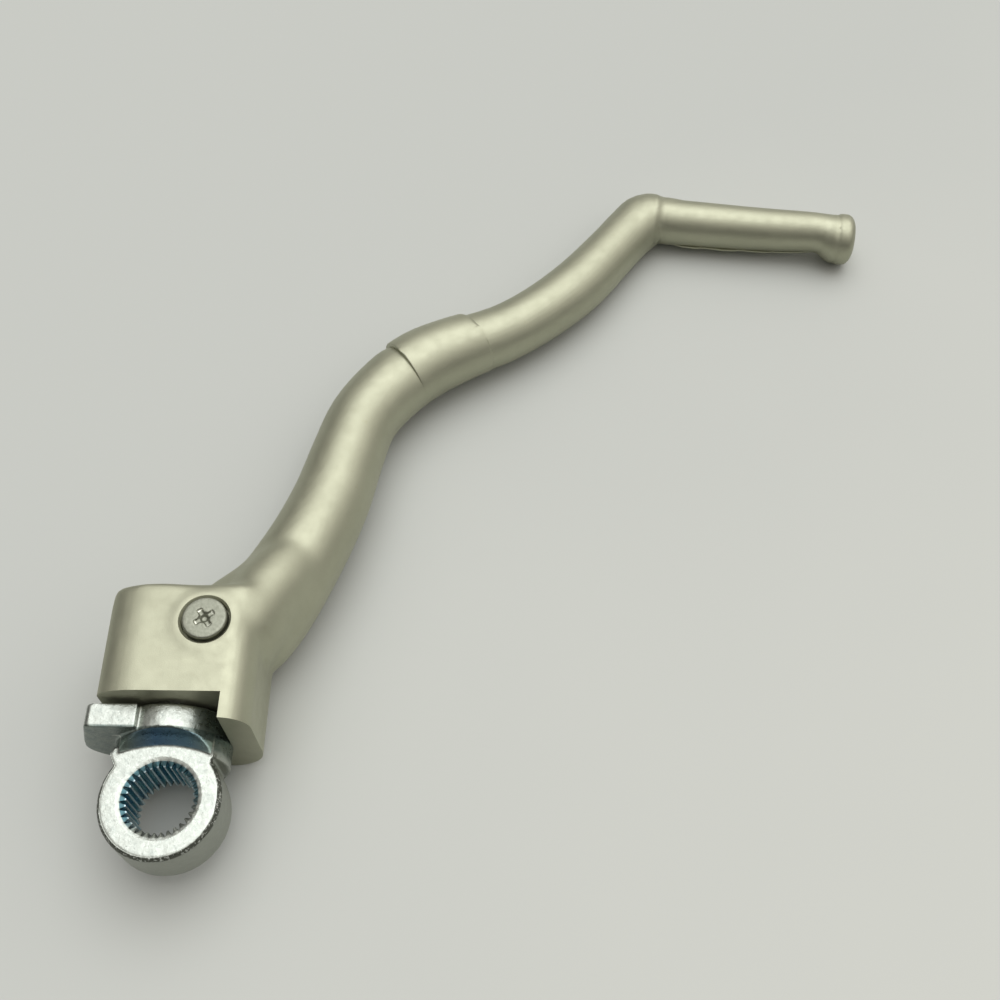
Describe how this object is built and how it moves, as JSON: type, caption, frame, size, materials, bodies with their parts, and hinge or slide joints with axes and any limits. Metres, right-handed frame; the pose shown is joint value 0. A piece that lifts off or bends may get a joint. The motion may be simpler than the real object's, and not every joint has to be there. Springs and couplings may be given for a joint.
{
  "type": "folding kick start lever",
  "caption": "Folding kick start lever: splined boss and stop flange, forged S-shaped arm with a foot peg, locked by a cross recess screw.",
  "frame": {"origin": "centre of the serrated bore, half way through the boss", "axes": "+Z along the bore, out of the face that the picture shows; +Y along the folding stem, from the bore into the lever's head; +X to the side that the foot peg points to with the lever folded"},
  "size_m": [0.231, 0.2377, 0.0385],
  "materials": {
    "blasted_aluminium": "satin, bead blasted, faint warm tint",
    "zinc_plated_steel": "bright zinc plating over a forged surface, bluish in the shade",
    "screw_steel": "satin zinc plating",
    "seal_rubber": "matte black",
    "ball_steel": "polished bearing steel",
    "spring_steel": "drawn wire"
  },
  "bodies": {
    "lever": {"kick_arm": "blasted_aluminium", "retaining_screw": "screw_steel", "stem_seal": "seal_rubber", "detent_spring": "spring_steel"},
    "knuckle": {"splined_knuckle": "zinc_plated_steel"},
    "ball": {"detent_ball": "ball_steel"}
  },
  "joints": [
    {"name": "fold", "type": "hinge", "parent": "lever", "child": "knuckle", "pos_m": [0, 0, 0], "axis": [0, 1, 0], "range_deg": [0, 90]},
    {"name": "detent_press", "type": "slide", "parent": "lever", "child": "ball", "axis": [0, 1, 0], "range_m": [-0.0007, 0], "stiffness_N_per_m": 4000, "springref_m": -0.0015, "deforming": ["detent_spring"]}
  ]
}
